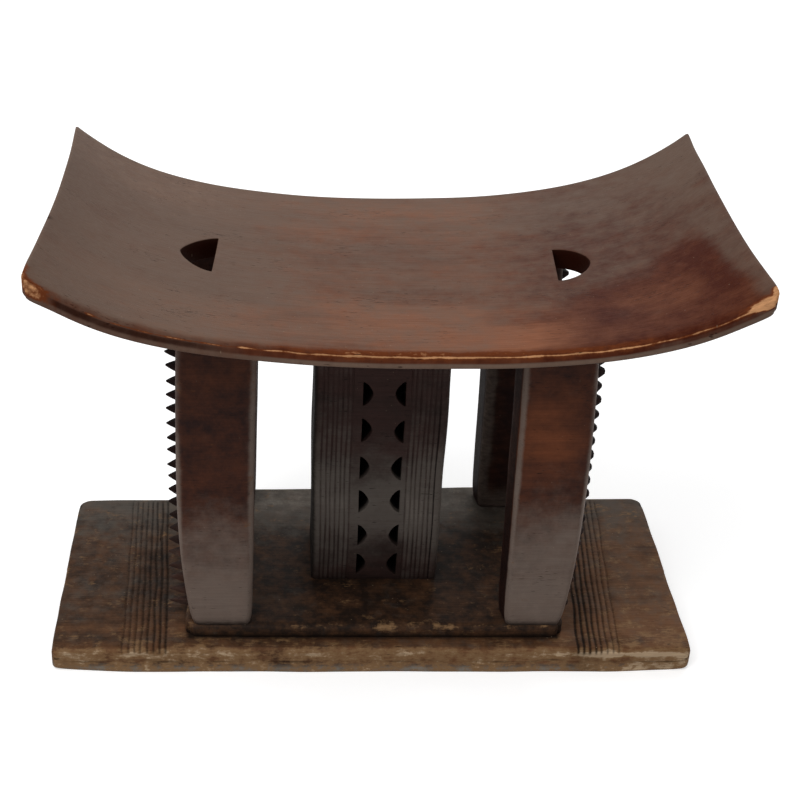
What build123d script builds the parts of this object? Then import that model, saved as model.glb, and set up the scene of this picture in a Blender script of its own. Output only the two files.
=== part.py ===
"""Four-post stool with a saddle seat, carved in the manner of the Asante people.

The whole stool is one block of wood.  Its members are modelled one by one and
meet face to face: the saddle seat, the base board, the low plinth on the board,
four corner posts with a row of pointed teeth down each outer side, and a hollow
grooved column pierced with two rows of half-moons.

Millimetres.  X runs along the seat, Y from front to back, Z up.  The origin is
the middle of the base board's underside, so the stool stands on Z = 0.
"""

from build123d import *
from math import asin, atan2, cos, degrees, hypot, sin, sqrt
import os

os.makedirs("parts", exist_ok=True)

# ---------------------------------------------------------------- base board
base_length = 510
base_depth = 208
base_thickness = 22
base_corner = 7            # radius of the four upright corners
base_top_arris = 4         # softened edge round the top
base_foot_arris = 1.5      # flat taken off the edge round the underside

groove_count = 8           # lines in each band cut across the board
groove_pitch = 4.8
groove_width = 1.8
groove_depth = 1.1
band_front = 180           # middle of a band at the front edge, from the centre
band_back = 193            # the same at the back edge: the bands splay a little

# -------------------------------------------------------------------- plinth
plinth_length = 303
plinth_height = 11
plinth_ledge = 15          # board left showing in front of the plinth
plinth_corner = 11         # radius of its upright corners
plinth_arris = 3

# ---------------------------------------------------------------------- seat
seat_length = 500
seat_depth = 284           # front to back at the two ends
seat_waist = 266           # front to back at the middle
seat_low = 306             # floor to the top of the seat at its middle
seat_rise = 64             # how much higher the two ends stand
saddle_radius = 1455       # shallow bend of the middle stretch
saddle_turn = 118          # where the steeper end bends take over, from the centre
seat_edge = 12             # thickness along the long edges
seat_core = 16             # thickness along the middle
seat_bevel = 60            # where the underside starts to thin out, from the centre line
end_hollow = 4             # how far each end is hollowed in plan
seat_corner = 9            # radius of the worn corners
seat_arris = 2             # flat taken off the edges above and below

hole_flat = 131            # flat side of a hand hole, from the centre
hole_reach = 27            # flat side to rounded tip
hole_width = 57            # along the flat side
hole_shoulder = 0.76       # part of the width left at half the reach
hole_tip = 7               # half width where the tip's own curve starts

# --------------------------------------------------------------------- posts
post_depth = 26
post_setback = 1           # post face behind the plinth's edge
post_foot_inner = 100      # inner side at the plinth, from the centre
post_head_inner = 96.5     # inner side under the seat
post_belly = 155.5         # widest reach of the outer side
post_belly_height = 165    # where it is widest, above the floor
post_foot_bend = 1090      # radius of the outer side below the belly
post_head_bend = 2400      # radius of the outer side above it
post_arris = 5.5

tooth_count = 22
tooth_pitch = 11.8
tooth_first = 47           # height of the lowest tooth
tooth_root = 9.6           # side of its square root
tooth_reach = 162          # tips of the teeth, from the centre
tooth_tip = 0.8            # blunt end left by the knife
tooth_bite = 1.5           # how deep the root is sunk in the post

# -------------------------------------------------------------------- column
column_width = 99
column_head_width = 103
column_depth = 70
column_corner = 4
core_side = 42             # square hollow down the middle
core_corner = 3

flute_count = 7            # upright lines in each band
flute_pitch = 3.4
flute_width = 1.6
flute_depth = 1.1
flute_inset = 24           # first line of a band, from the centre
flute_stop = 2.5           # plain strip left by the knife at the foot and under the seat

moon_rows = 7
moon_pitch = 33
moon_first = 48            # height of the lowest pair
moon_height = 19
moon_bulge = 7
moon_flat = 17.5           # flat side of a half-moon, from the centre

# ------------------------------------------------------- worked out from above
plinth_top = base_thickness + plinth_height
plinth_front = plinth_ledge - base_depth / 2
plinth_back = base_depth / 2
plinth_depth = plinth_back - plinth_front
body_middle = (plinth_front + plinth_back) / 2
blank_top = seat_low + seat_rise


def drop_of(radius, distance):
    """How far an arc of this radius has fallen away at this distance from its top."""
    return radius - sqrt(radius**2 - distance**2)


def post_outer(z):
    """Reach of a post's outer side at height z: two arcs that meet at the belly."""
    bend = post_foot_bend if z < post_belly_height else post_head_bend
    return post_belly - drop_of(bend, z - post_belly_height)


# The saddle is three arcs.  The end arc leaves the middle one in line with it and
# reaches the seat's end at its full rise, which settles its radius and its centre.
turn_angle = asin(saddle_turn / saddle_radius)
turn_height = seat_low + drop_of(saddle_radius, saddle_turn)
end_run = seat_length / 2 - saddle_turn
end_climb = seat_low + seat_rise - turn_height
end_half_angle = atan2(end_climb, end_run) - turn_angle
end_radius = hypot(end_run, end_climb) / (2 * sin(end_half_angle))
middle_centre = (0, 0, seat_low + saddle_radius)
end_centre = (saddle_turn - end_radius * sin(turn_angle), 0, turn_height + end_radius * cos(turn_angle))
end_overrun = 4            # degrees past the seat's end, trimmed off in plan


def saddle_slab(head_room):
    """Solid between the seat's underside and head_room above its top."""
    half_depth = seat_depth / 2
    turn = Plane(origin=(saddle_turn, 0, turn_height), x_dir=(0, -1, 0),
                 z_dir=(-cos(turn_angle), 0, -sin(turn_angle)))
    with BuildSketch(turn) as section:
        with BuildLine():
            Polyline((-half_depth, -seat_edge), (-half_depth, head_room), (half_depth, head_room),
                     (half_depth, -seat_edge), (seat_bevel, -seat_core), (-seat_bevel, -seat_core), close=True)
        make_face()
    with BuildPart() as slab:
        add(section.sketch)
        revolve(axis=Axis(middle_centre, (0, 1, 0)), revolution_arc=2 * degrees(turn_angle))
    with BuildPart() as end_bend:
        add(section.sketch)
        revolve(axis=Axis(end_centre, (0, -1, 0)), revolution_arc=2 * degrees(end_half_angle) + end_overrun)
    with slab:
        add(end_bend.part)
        mirror(end_bend.part, about=Plane.YZ)
    return slab.part


above_underside = saddle_slab(head_room=90)

# ======================================================================= seat
with BuildPart() as seat:
    add(saddle_slab(head_room=0))
    with BuildSketch():
        with BuildLine():
            tip_x = seat_length / 2
            tip_y = seat_depth / 2
            waist_y = seat_waist / 2
            hollow_x = tip_x - end_hollow
            ThreePointArc((-tip_x, tip_y), (0, waist_y), (tip_x, tip_y))
            ThreePointArc((tip_x, tip_y), (hollow_x, 0), (tip_x, -tip_y))
            ThreePointArc((tip_x, -tip_y), (0, -waist_y), (-tip_x, -tip_y))
            ThreePointArc((-tip_x, -tip_y), (-hollow_x, 0), (-tip_x, tip_y))
        make_face()
    extrude(amount=blank_top + seat_rise, mode=Mode.INTERSECT)
    corners = seat.edges().filter_by(Axis.Z)
    fillet(corners, radius=seat_corner)
    rims = seat.faces().sort_by(SortBy.AREA)[-2:].edges()
    chamfer(rims, length=seat_arris)
    with BuildSketch() as hand_hole:
        with BuildLine():
            half = hole_width / 2
            tip_start = hole_flat + hole_reach * 0.92
            Line((hole_flat, -half), (hole_flat, half))
            ThreePointArc((hole_flat, half), (hole_flat + hole_reach / 2, half * hole_shoulder),
                          (tip_start, hole_tip))
            ThreePointArc((tip_start, hole_tip), (hole_flat + hole_reach, 0), (tip_start, -hole_tip))
            ThreePointArc((tip_start, -hole_tip), (hole_flat + hole_reach / 2, -half * hole_shoulder),
                          (hole_flat, -half))
        make_face()
        mirror(about=Plane.YZ)
    extrude(amount=blank_top, mode=Mode.SUBTRACT)
seat.part.label = "seat"
export_step(seat.part, "parts/seat.step")

# ================================================================= base board
with BuildPart() as base_board:
    with BuildSketch():
        RectangleRounded(base_length, base_depth, base_corner)
    extrude(amount=base_thickness)
    fillet(base_board.faces().sort_by(Axis.Z)[-1].edges(), radius=base_top_arris)
    chamfer(base_board.faces().sort_by(Axis.Z)[0].edges(), length=base_foot_arris)
    splay = Vector(band_back - band_front, base_depth, 0)
    front_edge = Plane(origin=(0, -base_depth / 2, base_thickness), x_dir=(1, 0, 0), z_dir=(0, -1, 0))
    for side in (-1, 1):
        run = Vector(side * splay.X, splay.Y, 0)
        with BuildSketch(front_edge):
            with Locations((side * band_front, 0)):
                with GridLocations(groove_pitch, 0, groove_count, 1):
                    Polygon((-groove_width / 2, 0), (0, -groove_depth), (groove_width / 2, 0), align=None)
        extrude(amount=run.length, dir=run, mode=Mode.SUBTRACT)
base_board.part.label = "base_board"
export_step(base_board.part, "parts/base_board.step")

# ===================================================================== plinth
with BuildPart() as plinth:
    with BuildSketch(Plane.XY.offset(base_thickness)):
        with Locations((0, body_middle)):
            RectangleRounded(plinth_length, plinth_depth, plinth_corner)
    extrude(amount=plinth_height)
    fillet(plinth.faces().sort_by(Axis.Z)[-1].edges(), radius=plinth_arris)
plinth.part.label = "plinth"
export_step(plinth.part, "parts/plinth.step")

# ====================================================================== posts
with BuildPart() as post_blank:
    with BuildSketch(Plane.XZ.offset(-post_depth / 2)):
        with BuildLine():
            foot = (post_outer(plinth_top), plinth_top)
            belly = (post_belly, post_belly_height)
            head = (post_outer(blank_top), blank_top)
            RadiusArc(foot, belly, -post_foot_bend)
            RadiusArc(belly, head, -post_head_bend)
            Polyline(head, (post_head_inner, blank_top), (post_foot_inner, plinth_top), foot)
        make_face()
    extrude(amount=post_depth)
    sides = post_blank.faces().filter_by(Axis.Y)
    fillet(sides.edges().filter_by(lambda edge: edge.length > post_depth * 2.5), radius=post_arris)
    for level in range(tooth_count):
        tooth_z = tooth_first + level * tooth_pitch
        root_x = post_outer(tooth_z) - tooth_bite
        low, high = (tooth_root - tooth_tip) / 2, (tooth_root + tooth_tip) / 2
        with Locations(Location(((root_x + tooth_reach) / 2, 0, tooth_z), (0, 0, -90))):
            Wedge(tooth_root, tooth_reach - root_x, tooth_root, low, low, high, high)

post_y = plinth_depth / 2 - post_setback - post_depth / 2
for name, side, post_middle in (
    ("front_left_post", -1, body_middle - post_y),
    ("front_right_post", 1, body_middle - post_y),
    ("back_left_post", -1, body_middle + post_y),
    ("back_right_post", 1, body_middle + post_y),
):
    with BuildPart() as post:
        with Locations((0, post_middle, 0)):
            add(post_blank.part if side > 0 else post_blank.part.mirror(Plane.YZ))
        add(above_underside, mode=Mode.SUBTRACT)
    post.part.label = name
    export_step(post.part, f"parts/{name}.step")

# ============================================================= central column
with BuildSketch() as half_moon:
    with BuildLine():
        ThreePointArc((-moon_flat, moon_height / 2), (moon_bulge - moon_flat, 0),
                      (-moon_flat, -moon_height / 2))
        Line((-moon_flat, -moon_height / 2), (-moon_flat, moon_height / 2))
    make_face()

with BuildPart() as central_column:
    with BuildSketch(Plane.XZ.offset(-body_middle - column_depth / 2)):
        with BuildLine():
            Polyline((-column_width / 2, plinth_top), (column_width / 2, plinth_top),
                     (column_head_width / 2, blank_top), (-column_head_width / 2, blank_top), close=True)
        make_face()
    extrude(amount=column_depth)
    sides = central_column.faces().filter_by(Axis.Y)
    fillet(sides.edges().filter_by(Axis.X, reverse=True), radius=column_corner)
    with BuildSketch(Plane.XY.offset(plinth_top)):
        with Locations((0, body_middle)):
            RectangleRounded(core_side, core_side, core_corner)
    extrude(amount=blank_top, mode=Mode.SUBTRACT)
    add(above_underside, mode=Mode.SUBTRACT)
    with BuildSketch(Plane.XZ.offset(-plinth_back)):
        with Locations([(0, moon_first + row * moon_pitch) for row in range(moon_rows)]):
            add(half_moon.sketch)
        mirror(about=Plane.YZ)
    extrude(amount=base_depth, mode=Mode.SUBTRACT)
    for face_y, inward in ((body_middle - column_depth / 2, 1), (body_middle + column_depth / 2, -1)):
        with BuildSketch(Plane.XY.offset(plinth_top + flute_stop)):
            with Locations([(flute_inset + line * flute_pitch, face_y) for line in range(flute_count)]):
                Polygon((-flute_width / 2, 0), (flute_width / 2, 0), (0, inward * flute_depth), align=None)
            mirror(about=Plane.YZ)
        extrude(amount=seat_low - seat_core - plinth_top - 2 * flute_stop, mode=Mode.SUBTRACT)
central_column.part.label = "central_column"
export_step(central_column.part, "parts/central_column.step")
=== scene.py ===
"""Looks of the four-post saddle stool: its carved members as worked surfaces, in stained, waxed, worn wood.

Shapes are worked out in millimetres in the part's own frame (X along the seat, Y from front to back, Z up),
and become metres as each mesh is made.  Every member starts as a block with softened edges, which is then
bent, tapered, grooved and worn by a formula.  Its wear, its soil with painted shade, its dust with painted
sheen and highlights, and its stain are worked out for the same points, and one wood shader reads them.
"""
import functools
import math

import bmesh
import bpy
import numpy as np
from mathutils import Matrix, Vector


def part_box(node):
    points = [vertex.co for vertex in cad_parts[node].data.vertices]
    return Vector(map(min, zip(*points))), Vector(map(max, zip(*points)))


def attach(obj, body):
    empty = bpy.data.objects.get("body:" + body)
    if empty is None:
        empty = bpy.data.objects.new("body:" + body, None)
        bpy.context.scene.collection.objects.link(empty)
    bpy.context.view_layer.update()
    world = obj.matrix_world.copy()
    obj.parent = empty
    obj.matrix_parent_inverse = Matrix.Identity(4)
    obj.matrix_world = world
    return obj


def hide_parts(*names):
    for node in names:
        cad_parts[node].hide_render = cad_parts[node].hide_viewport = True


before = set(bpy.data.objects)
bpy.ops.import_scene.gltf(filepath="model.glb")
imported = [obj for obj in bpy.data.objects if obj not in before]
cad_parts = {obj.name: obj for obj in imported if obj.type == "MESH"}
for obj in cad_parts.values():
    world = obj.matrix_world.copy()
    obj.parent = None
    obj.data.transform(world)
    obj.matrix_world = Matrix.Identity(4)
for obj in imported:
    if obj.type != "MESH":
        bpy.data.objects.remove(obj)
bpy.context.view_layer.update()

MM = 0.001


def box_mm(node):
    """Lowest and highest corner of a CAD node, in millimetres."""
    low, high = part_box(node)
    return np.array(low) / MM, np.array(high) / MM


# ---------------------------------------------------------------- sizes, in millimetres
base_low, base_high = box_mm("base_board")
plinth_low, plinth_high = box_mm("plinth")

base_soft = (1.6, 5, 4)          # how far the soft edges reach in along X, Y and Z
base_back_soft = (1.6, 2.2, 1.8)
base_foot_soft = (1.6, 1.6, 0.6)   # the same round the underside
base_corners = (4, 6, 11)        # radius of its upright corners: front left, front right and both behind
base_fine = 12                   # over this width at the ends the grid is close
band_lines = 8                   # cut lines in each band across the board
band_middle = 187                # how far a band's middle lies from the board's
band_pitch = 4.6
band_groove = 3.2                # width of a cut line
band_depth = 1.0
band_splay = (5.0, 9.0)          # how far its lines lean out behind, at the left and at the right
band_narrowing = (0.06, 0.02)    # and the share by which they close up there

plinth_soft = (4, 6, 3.5)
plinth_back_soft = (4, 2.5, 2)
plinth_corners = (11, 11, 9)
plinth_sink = 4                  # carried down into the board, so that no gap shows
plinth_fine = 13

seat_half = 250.4
seat_half_depth = 140.1
seat_aside = 3.7                 # the seat sits this far to the right of the board
seat_turn = -0.0024              # angle that it is turned on its posts: the right end lies towards the front
seat_taper = 0.0048              # it is longer in front and shorter behind by this share
seat_low = 305.5                 # top of the seat at its middle
seat_rise = 58.8                 # how much higher the ends are
saddle_steep = 0.57              # share of the rise that comes in steeply, near the ends
saddle_late = 19                 # and this much of it comes in later still
seat_lean = 0.7                  # right end higher than the left by twice this
seat_twist = 2.3                 # front left and back right corners higher than the others
seat_tip = 0.9                   # back edge higher than the front by twice this
seat_core = 16                   # thickness along the middle
seat_edge = 13.2                 # thickness along the long edges
front_waist = 8.2                # the front edge is hollowed by this much
back_waist = 7.8
left_hollow = 5.0                # and each end
right_hollow = 3.5
right_hollow_slant = 0.98        # the right end's hollow is deepest towards the front
seat_box = np.array((seat_half, seat_half_depth, seat_core / 2))   # half the block that is bent to the seat
seat_soft = (3, 3.4, 3)
seat_fine = 16                   # over this width at the ends and in front the grid is close
seat_corners = (5, 5, 0.5)       # radius of the corners: front left, front right and both behind
# Each hand hole has its frame of grid cells, by lowest and highest X and Y, and the outline drawn in it.
hand_holes = (
    ((-168, -120, -36, 36), {"flat": -134.7, "middle": -0.9, "reach": -25.7, "half_width": 30.7,
                             "fullness": 1.5, "lean": 1.2, "droop": 4.2}),
    ((118, 166, -36, 36), {"flat": 125.5, "middle": -6.2, "reach": 25.6, "half_width": 26.6,
                           "fullness": 1.8, "lean": 1.2, "droop": 2.7}),
)

post_half = 27
post_half_depth = 13
post_top = 300                   # height of a post's block before it is carried up to the seat
post_stretch = 255               # from this height on it is carried up
post_run = 260                   # its inner side runs straight from foot to head over this height
bow_top = 290                    # height at which its outer side is at its head
post_soft = (5.5, 5.5, 1)
post_sink = 2.5                  # carried up into the seat and down into the plinth
tooth_count = 22
tooth_start = 47                 # height of the lowest
tooth_pitch = 11.8
tooth_sink = 2.2                 # how far its root is carried into the post

column_half = 52
column_half_depth = 35
column_top = 296                 # height of its block before it is carried up to the seat
column_stretch = 268             # from this height on it is carried up
column_flare = 0.012             # the head is wider than the foot by this share
column_lean = 0.9                # and the foot lies this far to the right of the head
column_soft = (4, 4, 1)
core_half = 26                   # square hollow down the column
core_half_depth = 12
flute_lines = 7
flute_pitch = 3.8
flute_inset = 22.6               # first line of a band, from the middle
flute_width = 2.1
flute_depth = 0.9
moon_heights = (48, 77.5, 111, 142.5, 177, 211, 245)
moon_tall = 21.5
moon_bulge = 8
moon_fullness = 1.5              # its bow is a pointed arch, where 2 would make it an ellipse
back_moon_share = 0.8            # those in the back wall are smaller
back_moon_drop = 3               # and lower
moon_flats = (-14.9, 18.2)       # where the flat sides of the left and the right row lie
moon_cells = ((-21.5, -3.5), (5.5, 21.5))   # each row's frame of grid cells, from side to side
moon_cell = 12                   # and half its height

body_middle = (plinth_low[1] + plinth_high[1]) / 2
plinth_top = plinth_high[2]
front_post_middle = plinth_low[1] + 1 + post_half_depth
back_post_middle = plinth_high[1] - 1 - post_half_depth


# ---------------------------------------------------------------- camera, floor and light
eye = (-0.08327, -1.02946, 0.79871)   # in metres
bearing, look_down, lean_over = 4.526, 30.43, 2.98   # in degrees
sensor, lens = 36, 68.02
lens_shift = (0.0288, -0.0041)


def make_camera():
    """The camera, set by its place, its bearing and how far it looks down and leans over."""
    yaw, pitch, roll = (math.radians(angle) for angle in (bearing, look_down, lean_over))
    ahead = Vector((math.sin(yaw) * math.cos(pitch), math.cos(yaw) * math.cos(pitch), -math.sin(pitch)))
    level = Vector((math.cos(yaw), -math.sin(yaw), 0))
    upright = level.cross(ahead)
    right = level * math.cos(roll) + upright * math.sin(roll)
    up = upright * math.cos(roll) - level * math.sin(roll)
    camera = bpy.data.objects.new("camera", bpy.data.cameras.new("camera"))
    bpy.context.scene.collection.objects.link(camera)
    turned = Matrix((right, up, -ahead)).transposed().to_4x4()
    camera.matrix_world = Matrix.Translation(eye) @ turned
    camera.data.sensor_width = sensor
    camera.data.lens = lens
    camera.data.shift_x, camera.data.shift_y = lens_shift
    camera.data.clip_start = 0.01
    bpy.context.scene.camera = camera


def put(tree, kind, inputs=None, **settings):
    """A node of that kind, with its settings made and its inputs linked or set."""
    made = tree.nodes.new(kind)
    for name, value in settings.items():
        setattr(made, name, value)
    for key, value in (inputs or {}).items():
        if isinstance(value, bpy.types.NodeSocket):
            tree.links.new(value, made.inputs[key])
        else:
            made.inputs[key].default_value = value
    return made


def reckon(tree, operation, first, second, clamp=False):
    """Output of a Math node on two sockets or numbers."""
    return put(tree, "ShaderNodeMath", {0: first, 1: second}, operation=operation, use_clamp=clamp).outputs[0]


def plus(tree, first, second):
    """Their sum."""
    return reckon(tree, "ADD", first, second)


def less(tree, first, second):
    """The first less the second."""
    return reckon(tree, "SUBTRACT", first, second)


def times(tree, first, second):
    """Their product."""
    return reckon(tree, "MULTIPLY", first, second)


def blend_of(tree, share, first, second, blend="MIX"):
    """Output of a colour Mix node: first where share is 0, second where it is 1."""
    made = put(tree, "ShaderNodeMix", {"Factor": share}, data_type="RGBA", blend_type=blend)
    for key, value in (("A", first), ("B", second)):
        socket = next(s for s in made.inputs if s.name == key and s.type == "RGBA")
        if isinstance(value, bpy.types.NodeSocket):
            tree.links.new(value, socket)
        else:
            socket.default_value = (*value, 1)
    return next(s for s in made.outputs if s.type == "RGBA")


def span_of(tree, value, low, high, to_low=0.0, to_high=1.0):
    """Output of a smooth Map Range node."""
    ends = {"Value": value, "From Min": low, "From Max": high, "To Min": to_low, "To Max": to_high}
    return put(tree, "ShaderNodeMapRange", ends, interpolation_type="SMOOTHSTEP").outputs[0]


def seen_rays(tree):
    """1 for what the eye sees, by itself, in a gloss or through glass, and 0 for what lights the stool."""
    path = put(tree, "ShaderNodeLightPath").outputs
    seen = reckon(tree, "MAXIMUM", path["Is Camera Ray"], path["Is Glossy Ray"])
    return reckon(tree, "MAXIMUM", seen, path["Is Transmission Ray"])


def make_floor():
    """A wide pale floor.  It keeps the stool's shadow, and to the eye it also glows a little, up to white."""
    far = 6.0
    mesh = bpy.data.meshes.new("floor")
    mesh.from_pydata([(-far, -far, 0), (far, -far, 0), (far, far, 0), (-far, far, 0)], [], [(0, 1, 2, 3)])
    floor = bpy.data.objects.new("floor", mesh)
    bpy.context.scene.collection.objects.link(floor)
    material = bpy.data.materials.new("pale_floor")
    material.use_nodes = True
    tree = material.node_tree
    tree.nodes.clear()
    seen = seen_rays(tree)
    pale = put(tree, "ShaderNodeBsdfDiffuse", {"Color": (0.82, 0.82, 0.82, 1)})
    glow = put(tree, "ShaderNodeEmission", {"Color": (1, 1, 1, 1), "Strength": times(tree, seen, 0.46)})
    both = put(tree, "ShaderNodeAddShader", {0: pale.outputs[0], 1: glow.outputs[0]})
    put(tree, "ShaderNodeOutputMaterial", {"Surface": both.outputs[0]})
    mesh.materials.append(material)


def make_world():
    """A white surround for what is seen or seen through, and an even, softer one as light."""
    world = bpy.data.worlds.new("studio")
    bpy.context.scene.world = world
    world.use_nodes = True
    tree = world.node_tree
    tree.nodes.clear()
    strength = put(tree, "ShaderNodeMapRange", {"Value": seen_rays(tree), "To Min": 0.5, "To Max": 1.0})
    light = put(tree, "ShaderNodeBackground", {"Color": (1, 1, 1, 1), "Strength": strength.outputs[0]})
    put(tree, "ShaderNodeOutputWorld", {"Surface": light.outputs[0]})


def make_lamp(name, place, aim, size, power):
    """A square soft lamp at place, turned to aim."""
    lamp = bpy.data.objects.new(name, bpy.data.lights.new(name, "AREA"))
    bpy.context.scene.collection.objects.link(lamp)
    lamp.data.size = size
    lamp.data.energy = power
    lamp.location = place
    lamp.rotation_euler = (Vector(aim) - Vector(place)).to_track_quat("-Z", "Y").to_euler()


bpy.context.scene.view_settings.view_transform = "Standard"
make_camera()
make_floor()
make_world()
make_lamp("key", (-1.1, -0.9, 2.0), (0, 0, 0.2), 1.4, 26)
make_lamp("back", (0.5, 1.5, 1.9), (0, 0, 0.3), 1.6, 16)


# ---------------------------------------------------------------- surfaces
def soft_lines(half, soft, inner, turns=4):
    """Grid lines from -half to half: the inner ones, and lines that turn each soft edge in even steps.

    A line at half - soft + soft * tan(angle) lands at that angle on the edge's quarter round.
    """
    edge = half - soft + soft * np.tan(np.linspace(0, math.pi / 4, turns + 1))
    return np.concatenate([-edge[::-1], inner, edge])


def even_lines(low, high, step):
    """Lines between low and high, neither included, about step apart."""
    return np.linspace(low, high, max(2, round((high - low) / step) + 1))[1:-1]


def even_soft(half, soft, step, turns=4):
    """Grid lines from one soft edge to the other, about step apart between them."""
    return soft_lines(half, soft, even_lines(soft - half, half - soft, step), turns)


def groove_lines(grooves, pitch, width):
    """Grid lines over a band of grooves: five across each, and one halfway to the next."""
    across = np.array((-0.5, -0.25, 0, 0.25, 0.5)) * width
    return np.sort(np.concatenate([(grooves[:, None] + across).ravel(), grooves[:-1] + pitch / 2]))


def v_grooves(place, grooves, pitch, width):
    """Number of the nearest groove, and how deep its V is there: 1 on its line, and 0 from its sides on."""
    number = np.clip(np.round((place - grooves[0]) / pitch), 0, len(grooves) - 1)
    return number, np.clip(1 - np.abs(place - grooves[0] - number * pitch) / (width / 2), 0, 1)


def block_grids(lines, windows=()):
    """The six faces of a box as grids of points, each with the cells that are kept.

    A window is (axis, a_low, a_high, b_low, b_high): the cells between those lines are left out of the two
    faces across that axis, where a and b are the other two axes in order.
    """
    grids = []
    for axis in range(3):
        a, b = (other for other in range(3) if other != axis)
        a_middle, b_middle = ((lines[k][1:] + lines[k][:-1]) / 2 for k in (a, b))
        keep = np.ones((len(a_middle), len(b_middle)), bool)
        for window_axis, a_low, a_high, b_low, b_high in windows:
            if window_axis == axis:
                in_a = (a_middle > a_low) & (a_middle < a_high)
                in_b = (b_middle > b_low) & (b_middle < b_high)
                keep[np.ix_(in_a, in_b)] = False
        for end in (0, -1):
            grid = np.zeros((len(lines[a]), len(lines[b]), 3))
            grid[..., a] = lines[a][:, None]
            grid[..., b] = lines[b][None, :]
            grid[..., axis] = lines[axis][end]
            grids.append((grid, keep))
    return grids


def window_frame(lines, a_low, a_high, b_low, b_high, flat_side):
    """Points once round a window's frame of cells, from the corner on its flat side and at its lower b."""
    along = lines[0][(lines[0] >= a_low - 0.01) & (lines[0] <= a_high + 0.01)]
    across = lines[1][(lines[1] >= b_low - 0.01) & (lines[1] <= b_high + 0.01)]
    along = along if flat_side < 0 else along[::-1]
    first, last = np.full(len(across) - 1, along[0]), np.full(len(across) - 1, along[-1])
    low, high = np.full(len(along) - 1, across[0]), np.full(len(along) - 1, across[-1])
    loop = np.concatenate([
        np.stack([along[:-1], low], -1),
        np.stack([last, across[:-1]], -1),
        np.stack([along[:0:-1], high], -1),
        np.stack([first, across[:0:-1]], -1),
    ])
    return loop, len(across) - 1


def half_round(flat, middle, reach, half_width, fullness, bow_points, flat_points, lean=0.0, droop=0.0):
    """Outline of a half-round opening: up its bow and back down its flat side.

    The bow is (|cos t|, |sin t|) to the power 2 / fullness, for t from -90 to 90 degrees: 2 makes it an
    ellipse, and less a pointed arch.  reach is negative where the bow lies towards lower a.  The ends of the
    flat side are out of line by lean each way, and the tip lies lower than its middle by droop.
    """
    t = np.linspace(-math.pi / 2, math.pi / 2, bow_points + 1)[:-1]
    bow_a = np.abs(np.cos(t)) ** (2 / fullness)
    bow_b = np.sign(np.sin(t)) * np.abs(np.sin(t)) ** (2 / fullness)
    flat_b = np.linspace(1, -1, flat_points + 1)[:-1]
    a = np.concatenate([bow_a, np.zeros(flat_points)])
    b = np.concatenate([bow_b, flat_b])
    return np.stack([flat + reach * a + lean * b, middle + half_width * b - droop * a], -1)


def sleeve(axis, loop, outline, near, far, rim):
    """Grid of points that lines a window from one face to the other.

    Each ring is a share of the frame's loop and the rest of the outline, which is pushed outwards by rim on
    the faces and by rim * (1 - sin angle) as the soft rim turns into the wall.
    """
    middle = outline.mean(0)
    ahead = np.roll(outline, -1, 0) - np.roll(outline, 1, 0)
    away = np.stack([ahead[:, 1], -ahead[:, 0]], -1)
    away /= np.maximum(np.linalg.norm(away, axis=1, keepdims=True), 1e-9)
    away *= np.sign(((outline - middle) * away).sum(1, keepdims=True) + 1e-9)
    angle = np.linspace(0, math.pi / 2, 4)
    step = math.copysign(rim, far - near)
    shares = np.concatenate([(1, 0.5, 0.15), np.zeros(10), (0.15, 0.5, 1)])
    gaps = rim * np.concatenate([(1, 1, 1), 1 - np.sin(angle), (0, 0), 1 - np.sin(angle[::-1]), (1, 1, 1)])
    turned = step * (1 - np.cos(angle))
    walls = near + (far - near) * np.array((1 / 3, 2 / 3))
    depths = np.concatenate([(near,) * 3, near + turned, walls, far - turned[::-1], (far,) * 3])
    share = shares[:, None, None]
    flat = share * loop + (1 - share) * (outline + away * gaps[:, None, None])
    flat = np.concatenate([flat, flat[:, :1]], 1)
    grid = np.zeros((*flat.shape[:2], 3))
    a, b = (other for other in range(3) if other != axis)
    grid[..., a], grid[..., b] = flat[..., 0], flat[..., 1]
    grid[..., axis] = depths[:, None]
    return grid, np.ones((grid.shape[0] - 1, grid.shape[1] - 1), bool)


def join(grids):
    """All grids as one list of points and one of quads, welded where points coincide, with none to spare."""
    quads, start = [], 0
    for grid, keep in grids:
        number = start + np.arange(grid[..., 0].size).reshape(grid.shape[:2])
        quads.append(np.stack([number[:-1, :-1], number[1:, :-1], number[1:, 1:], number[:-1, 1:]], -1)[keep])
        start += number.size
    points = np.concatenate([grid.reshape(-1, 3) for grid, _ in grids])
    _, first, same = np.unique(np.round(points, 3), axis=0, return_index=True, return_inverse=True)
    quads = same.reshape(-1)[np.concatenate(quads)]
    used, quads = np.unique(quads, return_inverse=True)
    return points[first][used], quads.reshape(-1, 4)


def soften(points, half, soft):
    """Rounds a box's edges: what lies outside the box's core is drawn in to an ellipsoid round that core."""
    half, soft = np.array(half, float), np.array(soft, float)
    core = np.clip(points, soft - half, half - soft)
    beyond = (points - core) / soft
    return core + beyond / np.maximum(np.linalg.norm(beyond, axis=-1, keepdims=True), 1) * soft


def soften_ends(points, half, front_soft, back_soft):
    """Rounds a box's edges, the ones in front and the ones behind each by their own measures."""
    return np.where(points[:, 1:2] > 0, soften(points, half, back_soft), soften(points, half, front_soft))


def round_corners(x, y, half, radii):
    """Rounds a block's upright corners, with a radius for the front left, the front right and both behind.

    Each corner's square is drawn in, ray by ray, to a quarter disc.
    """
    radius = np.where(y < 0, np.where(x < 0, radii[0], radii[1]), radii[2])
    core_x = np.clip(x, radius - half[0], half[0] - radius)
    core_y = np.clip(y, radius - half[1], half[1] - radius)
    ray = np.abs(np.stack([x - core_x, y - core_y]))
    share = np.where(ray.min(0) > 1e-6, ray.max(0) / np.maximum(np.hypot(*ray), 1e-6), 1)
    return core_x + (x - core_x) * share, core_y + (y - core_y) * share


def edge_gap(points, half):
    """Distance from a box's surface point to its nearest edge: the second smallest distance to a face."""
    return np.sort(np.array(half) - np.abs(points), axis=-1)[..., 1]


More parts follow.
